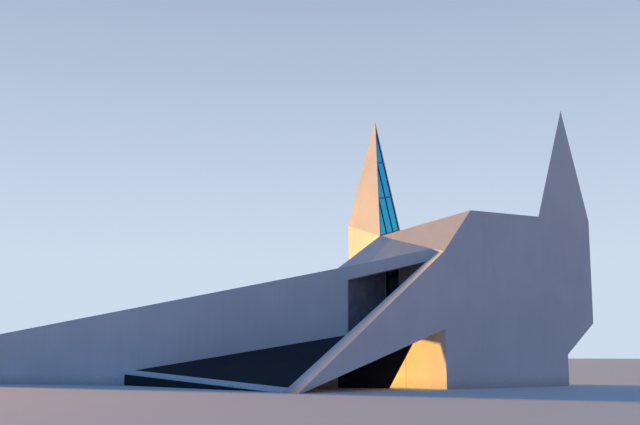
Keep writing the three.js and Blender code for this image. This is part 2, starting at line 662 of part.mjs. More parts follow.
// A bar handle on two posts, standing off one side of the leaf
function pullHandle(face, side) {
  const gripY = leafStart + LEAF_STILE / 2;
  const middle = leafBottom + HANDLE_HEIGHT;
  const grip = new THREE.CylinderGeometry(GRIP_RADIUS, GRIP_RADIUS, HANDLE_LENGTH, 16);
  grip.rotateX(Math.PI / 2);
  grip.translate(face + side * HANDLE_OFFSET, gripY, middle);
  const posts = [-1, 1].map((end) => {
    const post = new THREE.CylinderGeometry(POST_RADIUS, POST_RADIUS, HANDLE_OFFSET, 12);
    post.rotateZ(Math.PI / 2);
    post.translate(face + side * HANDLE_OFFSET / 2, gripY, middle + end * HANDLE_POSTS / 2);
    return toSolid(post);
  });
  return joinAll([toSolid(grip), ...posts]);
}

function addHandles() {
  addPiece('pull_handle_inside', pullHandle(FRAME_INSIDE + JOINT, 1), DARK_METAL);
  addPiece('pull_handle_outside', pullHandle(LEAF_OUTSIDE - JOINT, -1), DARK_METAL);
}

addNaveWalls();
addNaveFloor();
addNaveRoof();
addSpire(NEAR_SPIRE);
addSpire(FAR_SPIRE);
addEntrance();
addLongWall();
addParapet();
addRamp();
addDoorFrame();
addDoorLeaf();
addHinges();
addHandles();

// The origin is the middle of the whole, on the lowest ground
const extent = new THREE.Box3().setFromObject(building);
building.position.set(-(extent.min.x + extent.max.x) / 2, -(extent.min.y + extent.max.y) / 2, 0);

export default building;
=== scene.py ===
"""Dresses a small modern church, white and folded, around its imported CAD.

The building has a nave under four roof facets, two glazed spires, a covered entrance with a
glazed door, and a ramp between a triangular parapet and a long tapering wall.

Places are written in the drawing's own millimetres: X runs along the near wall, Y across the
nave and Z up. The function `at` turns them into the frame's metres.
"""

from __future__ import annotations

import json
import logging
import math
from dataclasses import dataclass
from enum import Enum
from functools import cached_property
from typing import Mapping, Sequence

import bmesh
import bpy
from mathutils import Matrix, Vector

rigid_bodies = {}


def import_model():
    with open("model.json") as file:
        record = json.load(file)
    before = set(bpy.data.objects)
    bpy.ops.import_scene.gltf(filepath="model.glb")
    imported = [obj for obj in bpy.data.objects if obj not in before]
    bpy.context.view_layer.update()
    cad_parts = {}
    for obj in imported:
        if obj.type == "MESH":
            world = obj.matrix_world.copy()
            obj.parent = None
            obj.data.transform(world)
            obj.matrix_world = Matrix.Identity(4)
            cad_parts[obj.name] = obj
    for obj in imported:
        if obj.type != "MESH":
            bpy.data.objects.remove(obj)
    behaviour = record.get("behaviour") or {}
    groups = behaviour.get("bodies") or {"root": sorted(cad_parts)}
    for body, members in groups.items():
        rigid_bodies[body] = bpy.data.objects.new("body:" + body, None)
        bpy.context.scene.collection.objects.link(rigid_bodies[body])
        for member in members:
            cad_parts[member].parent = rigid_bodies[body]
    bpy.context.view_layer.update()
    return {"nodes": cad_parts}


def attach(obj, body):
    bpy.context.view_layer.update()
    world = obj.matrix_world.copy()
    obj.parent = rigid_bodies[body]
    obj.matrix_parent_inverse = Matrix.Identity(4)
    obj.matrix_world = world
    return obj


LOG = logging.getLogger("church")

Shape = bmesh.types.BMesh
Socket = bpy.types.NodeSocket
Outline = Sequence[Vector]
Place = tuple[float, float]
Point = tuple[float, float, float]

DRAWING_ORIGIN = Vector((6.685392578125, -16.1238466796875, 0.0))
MM = 0.001

# New pieces: corners closer than this are one, and edges turning more than this are rounded.
SAME_PLACE = 1e-6
SHARP_TURN = 0.5
EASE_SEGMENTS = 2
EASE_PROFILE = 0.6
TURNED_FLATS = 32

# The same two for the CAD's nodes.
CAD_SAME_PLACE = 0.0001
CAD_SHARP_TURN = math.radians(25)

# Socket numbers of the Mix node for colours, and about the highest value of a noise.
MIX_FIRST, MIX_SECOND, MIX_RESULT = 6, 7, 2
NOISE_HIGH = 0.7


class Body(Enum):
    """The moving groups of the frame that a piece can ride on."""

    BUILDING = "building"
    DOOR = "door"


class Slot(Enum):
    """The record's material slots."""

    COATING = "white_coating"
    CONCRETE = "concrete"
    ASPHALT = "asphalt"
    THRESHOLD = "threshold"
    GLASS = "glass"
    METAL = "dark_metal"


def at(x: float, y: float, z: float) -> Vector:
    """The frame's metres for a place in the drawing's millimetres."""
    return DRAWING_ORIGIN + Vector((x, y, z)) * MM


def hex_to_linear(code: str) -> tuple[float, float, float, float]:
    """Turns an sRGB hex colour into Blender's linear colour.

    Args:
        code: six hex digits after a hash sign.

    Returns:
        Linear red, green and blue, and an alpha of one.
    """
    levels = [level / 255 for level in bytes.fromhex(code[1:])]
    red, green, blue = (v / 12.92 if v <= 0.04045 else ((v + 0.055) / 1.055) ** 2.4 for v in levels)
    return red, green, blue, 1.0


def placed(name: str, data: bpy.types.ID) -> bpy.types.Object:
    """Puts an object made of some data in the scene."""
    made = bpy.data.objects.new(name, data)
    bpy.context.scene.collection.objects.link(made)
    return made


@dataclass
class Wiring:
    """A node tree being drawn."""

    tree: bpy.types.NodeTree

    def add(
        self,
        kind: str,
        settings: Mapping[str | int, object] | None = None,
        links: Mapping[str | int, Socket] | None = None,
    ) -> bpy.types.Node:
        """Adds one shader node, with its options, socket values and incoming links.

        Args:
            kind: the node's type, without its "ShaderNode" prefix.
            settings: values by option name, or by socket name or number.
            links: outputs that feed this node, by socket name or number.

        Returns:
            The new node.
        """
        node = self.tree.nodes.new(f"ShaderNode{kind}")
        for key, value in (settings or {}).items():
            if isinstance(key, str) and key not in node.inputs:
                setattr(node, key, value)
            else:
                node.inputs[key].default_value = value
        for key, source in (links or {}).items():
            self.tree.links.new(source, node.inputs[key])
        return node

    def height(self, place: Socket) -> Socket:
        """The height of a place, or how far a direction points up."""
        return self.add("SeparateXYZ", links={"Vector": place}).outputs["Z"]

    def remap(self, value: Socket, source: Place, target: Place = (0.0, 1.0)) -> Socket:
        """Maps a value from one range to another, clamped.

        Args:
            value: the value to map.
            source: the start and end of its range.
            target: what it gives at the start and at the end.

        Returns:
            The mapped value.
        """
        settings = {"From Min": source[0], "From Max": source[1], "To Min": target[0], "To Max": target[1]}
        return self.add("MapRange", settings, {"Value": value}).outputs[0]

    def mix(self, share: Socket, first: Socket | str, second: str) -> Socket:
        """Mixes a second colour over a first.

        Args:
            share: how much of the second colour shows.
            first: a colour socket or a hex colour.
            second: a hex colour.

        Returns:
            The mixed colour.
        """
        settings: dict[str | int, object] = {"data_type": "RGBA", MIX_SECOND: hex_to_linear(second)}
        links: dict[str | int, Socket] = {0: share}
        if isinstance(first, str):
            settings[MIX_FIRST] = hex_to_linear(first)
        else:
            links[MIX_FIRST] = first
        return self.add("Mix", settings, links).outputs[MIX_RESULT]


@dataclass
class Surface(Wiring):
    """A material being drawn.

    Patterns are laid out in the frame's metres, so a noise of scale 10 makes features of about
    100 mm. Each stain lies over the tone so far, and each relief over the relief so far.
    """

    shader: bpy.types.Node
    place: Socket
    tone: Socket | str
    roughness: float
    bent: Socket | None = None

    def noise(self, scale: float, detail: float = 3.0, stretch: Point = (1.0, 1.0, 1.0)) -> Socket:
        """Draws a cloud pattern.

        Args:
            scale: features to the metre.
            detail: how many finer octaves it has.
            stretch: how densely it lies along each axis.

        Returns:
            The pattern's value, about 0.3 to 0.7.
        """
        mapped = self.add("Mapping", {"Scale": stretch}, {"Vector": self.place}).outputs[0]
        return self.add("TexNoise", {"Scale": scale, "Detail": detail}, {"Vector": mapped}).outputs[0]

    def stain(self, pattern: Socket, colour: str, shows: Place, share: float = 1.0) -> None:
        """Lays a colour over the tone.

        Args:
            pattern: where it lies.
            colour: a hex colour.
            shows: the pattern's value where it starts to show, and where it shows most.
            share: how much of it shows there.
        """
        self.tone = self.mix(self.remap(pattern, shows, (0.0, share)), self.tone, colour)
        self.tree.links.new(self.tone, self.shader.inputs["Base Color"])

    def roughen(self, pattern: Socket, less: float, more: float, start: float = 0.3) -> None:
        """Varies the roughness.

        Args:
            pattern: what it varies with.
            less: what is added at the pattern's start.
            more: what is added where it is high.
            start: the pattern's value at its start.
        """
        target = (self.roughness + less, self.roughness + more)
        rough = self.remap(pattern, (start, NOISE_HIGH), target)
        self.tree.links.new(rough, self.shader.inputs["Roughness"])

    def relief(self, pattern: Socket, depth: float, strength: float) -> None:
        """Turns a pattern into relief.

        Args:
            pattern: the pattern.
            depth: the relief's height in metres.
            strength: how strongly it shows.
        """
        links = {"Height": pattern, "Normal": self.bent} if self.bent else {"Height": pattern}
        self.bent = self.add("Bump", {"Distance": depth, "Strength": strength}, links).outputs[0]
        self.tree.links.new(self.bent, self.shader.inputs["Normal"])


@dataclass(frozen=True)
class Finish:
    """A surface finish, from which one material is made. Each kind draws its own pattern."""

    name: str
    slot: Slot
    colour: str
    roughness: float
    metallic: float = 0.0
    ior: float = 1.5

    @cached_property
    def material(self) -> bpy.types.Material:
        """The finish's one material, made at its first use."""
        made = bpy.data.materials.new(self.name)
        made.use_nodes = True
        tree = made.node_tree
        shader = tree.nodes["Principled BSDF"]
        shader.inputs["Base Color"].default_value = hex_to_linear(self.colour)
        shader.inputs["Roughness"].default_value = self.roughness
        shader.inputs["Metallic"].default_value = self.metallic
        if not self.metallic:
            shader.inputs["IOR"].default_value = self.ior
        place = Wiring(tree).add("TexCoord").outputs["Object"]
        self.draw(Surface(tree, shader, place, self.colour, self.roughness))
        return made

    def draw(self, surface: Surface) -> None:
        """Draws the pattern of this finish.

        Args:
            surface: the material being drawn.
        """
        raise NotImplementedError


@dataclass(frozen=True)
class SprayedCoating(Finish):
    """Elastomeric coating, sprayed in one skin over boarding.

    It gives a matt, seamless white with a slight orange peel, broad soft waves from the
    boards below, faint rain marks and a splashed foot.
    """

    shade: str = "#DAD9D3"
    rain: str = "#C6C6BF"
    soil: str = "#8F8474"
    gloss: float = 0.2
    clouds: float = 0.4
    rain_marks: float = 5.0
    spots: float = 9.0
    splash_top: float = 0.5
    waves: float = 0.8
    # Peel is 3 mm wide on the real skin, and 50 mm here so that it shows at 30 m.
    peel: float = 20.0

    def draw(self, surface: Surface) -> None:
        """Draws clouding, rain marks, splash and relief."""
        surface.shader.inputs["Specular IOR Level"].default_value = self.gloss
        clouds = surface.noise(self.clouds, detail=4.0)
        surface.stain(clouds, self.shade, (0.35, 0.68), share=0.55)
        marks = surface.noise(self.rain_marks, detail=4.0, stretch=(1.0, 1.0, 0.05))
        surface.stain(marks, self.rain, (0.52, 0.78), share=0.14)
        ragged = {"operation": "MULTIPLY_ADD", 1: self.splash_top}
        height = surface.height(surface.place)
        lifted = surface.add("Math", ragged, {0: surface.noise(self.spots, detail=5.0), 2: height})
        half = self.splash_top / 2
        surface.stain(lifted.outputs[0], self.soil, (self.splash_top + half, half), share=0.38)
        surface.roughen(clouds, -0.06, 0.08)
        surface.relief(surface.noise(self.waves, detail=2.0), depth=0.03, strength=0.4)
        surface.relief(surface.noise(self.peel), depth=0.004, strength=0.25)


@dataclass(frozen=True)
class MasticAsphalt(Finish):
    """Mastic asphalt, floated by hand and rubbed with fine grit.

    It gives a dark blue-grey, dull surface with pale grit and broad float marks.
    """

    grit: str = "#3E454F"
    worn: str = "#262C36"
    float_marks: float = 0.6
    # Grit is 4 mm on the real floor, and 30 mm here so that it shows.
    grain: float = 34.0

    def draw(self, surface: Surface) -> None:
        """Draws float marks and grit."""
        floated = surface.noise(self.float_marks, detail=5.0)
        surface.stain(floated, self.worn, (0.35, 0.7), share=0.7)
        grains = surface.noise(self.grain, detail=2.0)
        surface.stain(grains, self.grit, (0.56, 0.72), share=0.45)
        surface.roughen(floated, -0.14, 0.04)
        surface.relief(grains, depth=0.006, strength=0.5)


@dataclass(frozen=True)
class CastConcrete(Finish):
    """Cast concrete, struck from smooth boards.

    It gives a mid grey with cloudy tones and small blowholes.
    """

    damp: str = "#8D8A84"
    clouds: float = 1.1
    holes: float = 14.0

    def draw(self, surface: Surface) -> None:
        """Draws clouding and blowholes."""
        clouds = surface.noise(self.clouds, detail=6.0)
        surface.stain(clouds, self.damp, (0.35, 0.68), share=0.6)
        surface.roughen(clouds, -0.08, 0.06)
        pits = surface.add("TexVoronoi", {"Scale": self.holes}, {"Vector": surface.place})
        sunk = surface.remap(pits.outputs["Distance"], (0.04, 0.14))
        surface.relief(sunk, depth=0.004, strength=0.5)


@dataclass(frozen=True)
class CoatedSteel(Finish):
    """Powder-coated steel edging.

    It gives an even off-white satin with scuffs from feet and wheels.
    """

    scuff: str = "#A9ABAC"
    scuffs: float = 7.0
    texture: float = 60.0

    def draw(self, surface: Surface) -> None:
        """Draws scuffs and a fine texture."""
        scuffs = surface.noise(self.scuffs, detail=6.0, stretch=(1.0, 2.0, 1.0))
        surface.stain(scuffs, self.scuff, (0.5, 0.75), share=0.5)
        surface.roughen(scuffs, 0.0, 0.2, start=0.4)
        surface.relief(surface.noise(self.texture), depth=0.001, strength=0.3)


@dataclass(frozen=True)
class BrushedMetal(Finish):
    """Brushed aluminium or steel.

    It gives a satin metal with fine upright lines, so that highlights stretch across it.
    """

    worn: str = "#44484C"
    # Lines are 0.2 mm apart on the real bar, and 4 mm here so that they show.
    lines: float = 250.0
    wear: float = 6.0

    def draw(self, surface: Surface) -> None:
        """Draws brushed lines and handling wear."""
        brushed = surface.noise(self.lines, detail=2.0, stretch=(1.0, 1.0, 0.02))
        surface.stain(surface.noise(self.wear, detail=4.0), self.worn, (0.45, 0.75), share=0.6)
        surface.roughen(brushed, -0.07, 0.1)
        surface.relief(brushed, depth=0.0004, strength=0.3)


@dataclass(frozen=True)
class BoardPaintedShade(Finish):
    """Planed larch boards, in a brown-grey that is painted shade.

    It gives a dull, even brown-grey that stands in for deep shade, with the darker grain running up each
    board.
    """

    grain: str = "#84756B"
    # Rings are 3 mm apart on the real board, and 18 mm here so that they show.
    rings: float = 55.0
    clouds: float = 2.5

    def draw(self, surface: Surface) -> None:
        """Draws the grain and an uneven sheen."""
        rings = surface.noise(self.rings, detail=3.0, stretch=(1.0, 1.0, 0.05))
        surface.stain(rings, self.grain, (0.40, 0.65))
        surface.roughen(surface.noise(self.clouds, detail=4.0), -0.1, 0.1)
        surface.relief(rings, depth=0.0015, strength=0.4)


@dataclass(frozen=True)
class SlatePaintedShade(Finish):
    """Riven slate, honed flat, in a cool blue-grey that is painted shade.

    It gives the cool blue-grey that stands in for deep shade, with a soft sheen, cloudy darker patches and
    pale hair veins.
    """

    dark: str = "#7D838B"
    vein: str = "#B4BAC2"
    clouds: float = 2.2
    veins: float = 9.0

    def draw(self, surface: Surface) -> None:
        """Draws the clouding, the veins and the faint riven relief."""
        clouds = surface.noise(self.clouds, detail=6.0, stretch=(1.0, 1.0, 0.5))
        surface.stain(clouds, self.dark, (0.38, 0.66))
        veins = surface.noise(self.veins, detail=5.0, stretch=(0.4, 0.4, 1.0))
        surface.stain(veins, self.vein, (0.60, 0.70), share=0.4)
        surface.roughen(clouds, -0.08, 0.12)
        surface.relief(veins, depth=0.003, strength=0.25)


@dataclass(frozen=True)
class MouldedRubber(Finish):
    """Extruded rubber seal.

    It gives a dull black with a faint bloom.
    """

    bloom: str = "#26282B"
    clouds: float = 8.0
    texture: float = 120.0

    def draw(self, surface: Surface) -> None:
        """Draws the bloom and a fine texture."""
        surface.stain(surface.noise(self.clouds, detail=4.0), self.bloom, (0.4, 0.7), share=0.8)
        surface.relief(surface.noise(self.texture), depth=0.0005, strength=0.3)


@dataclass(frozen=True)
class GlassPaintedSky(Finish):
    """Float glass, clear, or cyan with painted sky reflection.

    It gives clear gloss and the slight waviness of a toughened sheet. On the cyan kind, the cyan colour, the
    cyan reflection tint and a darker blue up the pane are painted reflection of the sky.
    """

    # Painted sky reflection: the pane turns this darker blue between the two heights below.
    painted_sky_deep: str = "#2C8FC4"
    low_edge: float = 7.6
    high_edge: float = 13.0
    transmission: float = 0.4
    # Painted sky reflection: a cyan tint on all reflections of the metallic kind.
    painted_sky_tint: str = "#8FE6FF"
    waviness: float = 1.6

    def draw(self, surface: Surface) -> None:
        """Draws the painted sky reflection, darker up the pane, and the waviness."""
        inputs = surface.shader.inputs
        inputs["Transmission Weight"].default_value = self.transmission
        # Painted sky reflection: a cyan reflection tint, and a darker blue up the pane.
        if self.metallic:
            inputs["Specular Tint"].default_value = hex_to_linear(self.painted_sky_tint)
        surface.stain(surface.height(surface.place), self.painted_sky_deep, (self.low_edge, self.high_edge))
        surface.relief(surface.noise(self.waviness, detail=1.0), depth=0.004, strength=0.15)


WHITE_COATING = SprayedCoating("sprayed_coating", Slot.COATING, "#ECEAE4", 0.80)
ASPHALT = MasticAsphalt("mastic_asphalt", Slot.ASPHALT, "#171C24", 0.92)
CONCRETE = CastConcrete("cast_concrete", Slot.CONCRETE, "#A8A59E", 0.85)
EDGING = CoatedSteel("coated_steel_edging", Slot.THRESHOLD, "#E4E5E4", 0.50)
# The spire glass's cyan colour, metallic sheen and cyan tint are painted reflection of the blue sky.
SPIRE_GLASS = GlassPaintedSky(
    "glass_painted_sky", Slot.GLASS, "#3CC8DE", 0.05, metallic=0.75, painted_sky_deep="#1BA2E2", transmission=0.3
)
DOOR_GLASS = GlassPaintedSky(
    "clear_door_glass", Slot.GLASS, "#B9CDD0", 0.03, ior=1.52, painted_sky_deep="#AFC4C8", transmission=0.95
)
DARK_ALUMINIUM = BrushedMetal("dark_anodised_aluminium", Slot.METAL, "#2A2E32", 0.38, metallic=0.9)
GLAZING_BAR = BrushedMetal(
    "blue_grey_glazing_bar", Slot.METAL, "#3A6078", 0.42, metallic=0.5, worn="#4A7088"
)
STAINLESS = BrushedMetal("brushed_stainless", Slot.METAL, "#B8B9BA", 0.28, metallic=1.0, worn="#9C9D9E")
# Painted shade: the larch boards' brown-grey stands in for deep shade inside the porch.
LARCH_PAINTED_SHADE = BoardPaintedShade("larch_painted_shade", Slot.ASPHALT, "#A5958B", 0.62)
# Painted shade: the slate's cool blue-grey stands in for deep shade on the porch's end wall.
SLATE_PAINTED_SHADE = SlatePaintedShade("slate_painted_shade", Slot.CONCRETE, "#93999F", 0.50)
SEAL = MouldedRubber("black_rubber_seal", Slot.METAL, "#141517", 0.75)


def weld_and_ease(shape: Shape, ease: float) -> Shape:
    """Welds a shape, turns its faces outward and rounds its sharp edges.

    Args:
        shape: a closed shape.
        ease: the rounding's width in metres.

    Returns:
        The same shape.
    """
    bmesh.ops.remove_doubles(shape, verts=shape.verts, dist=SAME_PLACE)
    bmesh.ops.recalc_face_normals(shape, faces=shape.faces)
    whole = [edge for edge in shape.edges if len(edge.link_faces) == 2]
    sharp = [edge for edge in whole if edge.calc_face_angle() > SHARP_TURN]
    if ease and sharp:
        sizes = {"offset": ease, "segments": EASE_SEGMENTS, "profile": EASE_PROFILE}
        bmesh.ops.bevel(shape, geom=sharp, affect="EDGES", clamp_overlap=True, **sizes)
    return shape


def bridge(shape: Shape, first: list[bmesh.types.BMVert], second: list[bmesh.types.BMVert]) -> None:
    """Joins two loops of as many corners with faces. A corner may be repeated."""
    for corners in zip(first, first[1:] + first[:1], second[1:] + second[:1], second):
        shape.faces.new(list(dict.fromkeys(corners)))


def extruded(outline: Outline, push: Vector, ease: float) -> Shape:
    """Pushes a flat outline into a solid plate.

    Args:
        outline: the corners in order.
        push: the way and distance to push, in metres.
        ease: the width of its rounded edges.

    Returns:
        The plate.
    """
    shape = bmesh.new()
    near = [shape.verts.new(corner) for corner in outline]
    far = [shape.verts.new(corner + push) for corner in outline]
    shape.faces.new(near)
    shape.faces.new(far)
    bridge(shape, near, far)
    return weld_and_ease(shape, ease)


def ring(outer: Outline, inner: Outline, push: Vector, ease: float = 0.0) -> Shape:
    """Pushes the band between two matching outlines into a closed frame.

    Args:
        outer: the outer corners in order.
        inner: the inner corners, one for each outer corner.
        push: the way and distance to push, in metres.
        ease: the width of its rounded edges.

    Returns:
        The frame.
    """
    shape = bmesh.new()
    sides = (outer, inner, [corner + push for corner in inner], [corner + push for corner in outer])
    loops = [[shape.verts.new(corner) for corner in side] for side in sides]
    for first, second in zip(loops, loops[1:] + loops[:1]):
        bridge(shape, first, second)
    return weld_and_ease(shape, ease)


def turned(profile: Sequence[Place], foot: Vector, axis: Point) -> Shape:
    """Turns a profile round an axis, as on a lathe.

    Args:
        profile: distances along the axis and radii in metres. The ends are at radius zero.
        foot: where the axis starts.
        axis: the axis's direction.

    Returns:
        The turned solid.
    """
    along = Vector(axis)
    across = along.orthogonal().normalized()
    third = along.cross(across)
    shape = bmesh.new()
    loops = []
    for distance, radius in profile:
        centre = foot + along * distance
        count = TURNED_FLATS if radius > 0 else 1
        angles = [2 * math.pi * step / count for step in range(count)]
        spokes = [(across * math.cos(angle) + third * math.sin(angle)) * radius for angle in angles]
        corners = [shape.verts.new(centre + spoke) for spoke in spokes]
        loops.append(corners * (TURNED_FLATS // count))
    for first, second in zip(loops, loops[1:]):
        bridge(shape, first, second)
    return weld_and_ease(shape, 0.0)


def joined(shapes: Sequence[Shape]) -> Shape:
    """Gathers several shapes, which are used up, into one."""
    whole = bmesh.new()
    for shape in shapes:
        carried = bpy.data.meshes.new("carried")
        shape.to_mesh(carried)
        shape.free()
        whole.from_mesh(carried)
        bpy.data.meshes.remove(carried)
    return whole


def box_shape(low: Point, high: Point, ease: float) -> Shape:
    """An upright block between two corners.

    Args:
        low: the lowest corner in the drawing's millimetres.
        high: the highest corner in the drawing's millimetres.
        ease: the width of its rounded edges in metres.

    Returns:
        The block.
    """
    (x0, y0, z0), (x1, y1, z1) = low, high
    outline = [at(x0, y0, z0), at(x1, y0, z0), at(x1, y1, z0), at(x0, y1, z0)]
    return extruded(outline, Vector((0, 0, (z1 - z0) * MM)), ease)


@dataclass
class Workshop:
    """Dresses the CAD's nodes, and makes new pieces that ride on its bodies."""

    nodes: Mapping[str, bpy.types.Object]

    def dress(self, names: Sequence[str], finish: Finish, ease: float = 0.0) -> None:
        """Gives CAD nodes a finish, and rounds their edges with modifiers.

        Args:
            names: the nodes.
            finish: their finish.
            ease: the width of the rounded edges in metres, or zero for none.
        """
        for name in names:
            node = self.nodes[name]
            for material_slot in node.material_slots:
                material_slot.material = finish.material
            if ease:
                node.modifiers.new("weld", "WELD").merge_threshold = CAD_SAME_PLACE
                bevel = node.modifiers.new("ease", "BEVEL")
                bevel.width = ease
                bevel.segments = EASE_SEGMENTS
                bevel.limit_method = "ANGLE"
                bevel.angle_limit = CAD_SHARP_TURN
                bevel.use_clamp_overlap = True
            LOG.info("dressed %s in %s", name, finish.name)

    def add(self, name: str, shape: Shape, finish: Finish, body: Body = Body.BUILDING) -> None:
        """Makes a new piece and puts it on its body.

        Args:
            name: the piece's name.
            shape: its shape, which is used up.
            finish: its finish.
            body: the body that it rides on.
        """
        mesh = bpy.data.meshes.new(name)
        shape.to_mesh(mesh)
        shape.free()
        mesh.materials.append(finish.material)
        piece = placed(name, mesh)
        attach(piece, body.value)
        LOG.info("made %s in %s, on %s", name, finish.name, body.value)


@dataclass(frozen=True)
class Plane:
    """A plane, with its normal towards the side that counts as inside."""

    normal: Vector
    point: Vector

    @staticmethod
    def facing(inside: Vector, point: Vector, first: Vector, second: Vector) -> Plane:
        """The plane through a point that holds two directions.

        Args:
            inside: a place on the inner side.
            point: a point of the plane.
            first: one direction.
            second: another direction.

        Returns:
            The plane.
        """
        normal = first.cross(second).normalized()
        return Plane(-normal if (inside - point).dot(normal) < 0 else normal, point)

    def moved(self, distance: float) -> Plane:
        """The same plane, moved towards its inner side."""
        return Plane(self.normal, self.point + self.normal * distance)

    def limit(self, distance: float) -> Plane:
        """The plane moved towards its inner side, with its own sides exchanged."""
        return Plane(-self.normal, self.moved(distance).point)

    def band(self, low: float, high: float) -> list[Plane]:
        """The two planes round the band between two distances from this plane."""
        return [self.moved(low), self.limit(high)]

    def height(self, place: Vector) -> float:
        """How far a place lies on the inner side."""
        return (place - self.point).dot(self.normal)


def meeting_point(a: Plane, b: Plane, c: Plane) -> Vector:
    """The point where three planes meet."""
    across = b.normal.cross(c.normal)
    total = across * a.point.dot(a.normal)
    total += c.normal.cross(a.normal) * b.point.dot(b.normal)
    total += a.normal.cross(b.normal) * c.point.dot(c.normal)
    return total / a.normal.dot(across)


def trimmed(outline: Outline, limits: Sequence[Plane]) -> list[Vector]:
    """Cuts off the parts of an outline beyond some planes.

    Args:
        outline: the corners of a convex outline.
        limits: the planes, which cut one after another.

    Returns:
        The corners of what is left.
    """
    left = list(outline)
    for limit in limits:
        kept = []
        for corner, after in zip(left, left[1:] + left[:1]):
            here, there = limit.height(corner), limit.height(after)
            if here >= 0:
                kept.append(corner)
            if here * there < 0:
                kept.append(corner.lerp(after, here / (here - there)))
        left = kept
    return left


@dataclass(frozen=True)
class Glazing:
    """The lines of a spire's glazed face, as planes that stand on it.

    The level ones go from the top down, and the last is the base. The slanting ones go from the
    right edge leftward, and the first is that edge.
    """

    normal: Vector
    whole: list[Vector]
    left: Plane
    levels: list[Plane]
    slants: list[Plane]

    def row_limits(self, row: int, half_bar: float) -> list[Plane]:
        """The level lines round one row of panes.

        Args:
            row: the row, counted from the top.
            half_bar: half the width of an inner bar. The bar at the base is twice as wide.

        Returns:
            The line under the row, and the line over it where there is one.
        """
        last = row == len(self.levels) - 1
        limits = [self.levels[row].moved(2 * half_bar if last else half_bar)]
        if row:
            limits.append(self.levels[row - 1].limit(-half_bar))
        return limits

    def panes(self, half_bar: float) -> list[list[Vector]]:
        """The outline of each pane between its bars.

        Args:
            half_bar: half the width of an inner bar. The outer bars are twice as wide.

        Returns:
            The panes' corners.
        """
        found = []
        for row in range(len(self.levels)):
            strip = trimmed(self.whole, [*self.row_limits(row, half_bar), self.left.moved(2 * half_bar)])
            for column in range(row + 1):
                limits = [self.slants[column].moved(half_bar if column else 2 * half_bar)]
                if column < row:
                    limits.append(self.slants[column + 1].limit(-half_bar))
                found.append(trimmed(strip, limits))
        return found


@dataclass
class Spire:
    """A three-sided spire with two coated plates and one glazed face.

    Corners are in the drawing's millimetres. Sizes are in metres.
    """

    name: str
    apex: Point
    foot: Point
    corner: Point
    reach: Point
    rows: int = 3
    plate: float = 0.100
    bar: float = 0.045
    cap: float = 0.034
    cap_rise: float = 0.006
    cap_ease: float = 0.003
    setback: float = 0.025
    seal: float = 0.012
    seal_rise: float = 0.010

    def build(self, shop: Workshop) -> None:
        """Dresses the spire's nodes, and adds its pressure caps and seals.

        Args:
            shop: where the pieces are made.
        """
        shop.dress([f"{self.name}_face", f"{self.name}_side"], WHITE_COATING)
        shop.dress([f"{self.name}_glass"], SPIRE_GLASS)
        shop.dress([f"{self.name}_bars"], GLAZING_BAR)
        shop.add(f"{self.name}_caps", self.caps(), GLAZING_BAR)
        shop.add(f"{self.name}_seals", self.seals(), SEAL)

    @cached_property
    def glazing(self) -> Glazing:
        """The lines of the glazed face, whose opening ends at the two plates and the base."""
        apex, foot, corner, reach = (at(*point) for point in (self.apex, self.foot, self.corner, self.reach))
        inside = (apex + foot + corner + reach) / 4
        face = Plane.facing(inside, apex, reach - apex, foot - apex)
        outer = Plane.facing(inside, apex, foot - apex, corner - apex).moved(self.plate)
        side = Plane.facing(inside, apex, corner - apex, reach - apex).moved(self.plate)
        base = Plane.facing(inside, foot, corner - foot, reach - foot)
        top = meeting_point(face, outer, side)
        left = meeting_point(face, side, base)
        right = meeting_point(face, outer, base)
        middle = (top + left + right) / 3
        levels = []
        slants = [Plane.facing(middle, top, right - top, face.normal)]
        for row in range(1, self.rows + 1):
            down = row / self.rows
            start = top.lerp(left, down)
            levels.append(Plane.facing(top, start, top.lerp(right, down) - start, face.normal))
            if row < self.rows:
                slants.append(Plane.facing(left, start, right.lerp(left, down) - start, face.normal))
        left_edge = Plane.facing(middle, top, left - top, face.normal)
        return Glazing(face.normal, [top, left, right], left_edge, levels, slants)

    def caps(self) -> Shape:
        """The pressure caps that stand on the bars."""
        grid = self.glazing
        left, right, base = grid.left, grid.slants[0], grid.levels[-1]
        lip = (self.bar - self.cap) / 2
        inner = lip + self.cap
        half = self.cap / 2
        outlines = [
            trimmed(grid.whole, [*left.band(lip, inner), right.moved(lip), base.moved(lip)]),
            trimmed(grid.whole, [*right.band(lip, inner), left.moved(inner), base.moved(lip)]),
            trimmed(grid.whole, [*base.band(lip, inner), left.moved(inner), right.moved(inner)]),
        ]
        inside = trimmed(grid.whole, [line.moved(inner) for line in (base, right, left)])
        outlines += [trimmed(inside, level.band(-half, half)) for level in grid.levels[:-1]]
        for slant in grid.slants[1:]:
            strip = trimmed(inside, slant.band(-half, half))
            outlines += [trimmed(strip, grid.row_limits(row, half)) for row in range(self.rows)]
        rise = grid.normal * -self.cap_rise
        return joined([extruded(outline, rise, self.cap_ease) for outline in outlines if len(outline) > 2])

    def seals(self) -> Shape:
        """The rubber seals round each pane, on the glass."""
        normal = self.glazing.normal
        push_back = normal * (self.setback - self.seal_rise)
        rings = []
        for outer in self.glazing.panes(self.bar / 2):
            middle = sum(outer, Vector()) / len(outer)
            edges = [Plane.facing(middle, a, b - a, normal) for a, b in zip(outer, outer[1:] + outer[:1])]
            inner = trimmed(outer, [edge.moved(self.seal) for edge in edges])
            sides = [[corner + push_back for corner in side] for side in (outer, inner)]
            rings.append(ring(*sides, normal * self.seal_rise))
        return joined(rings)


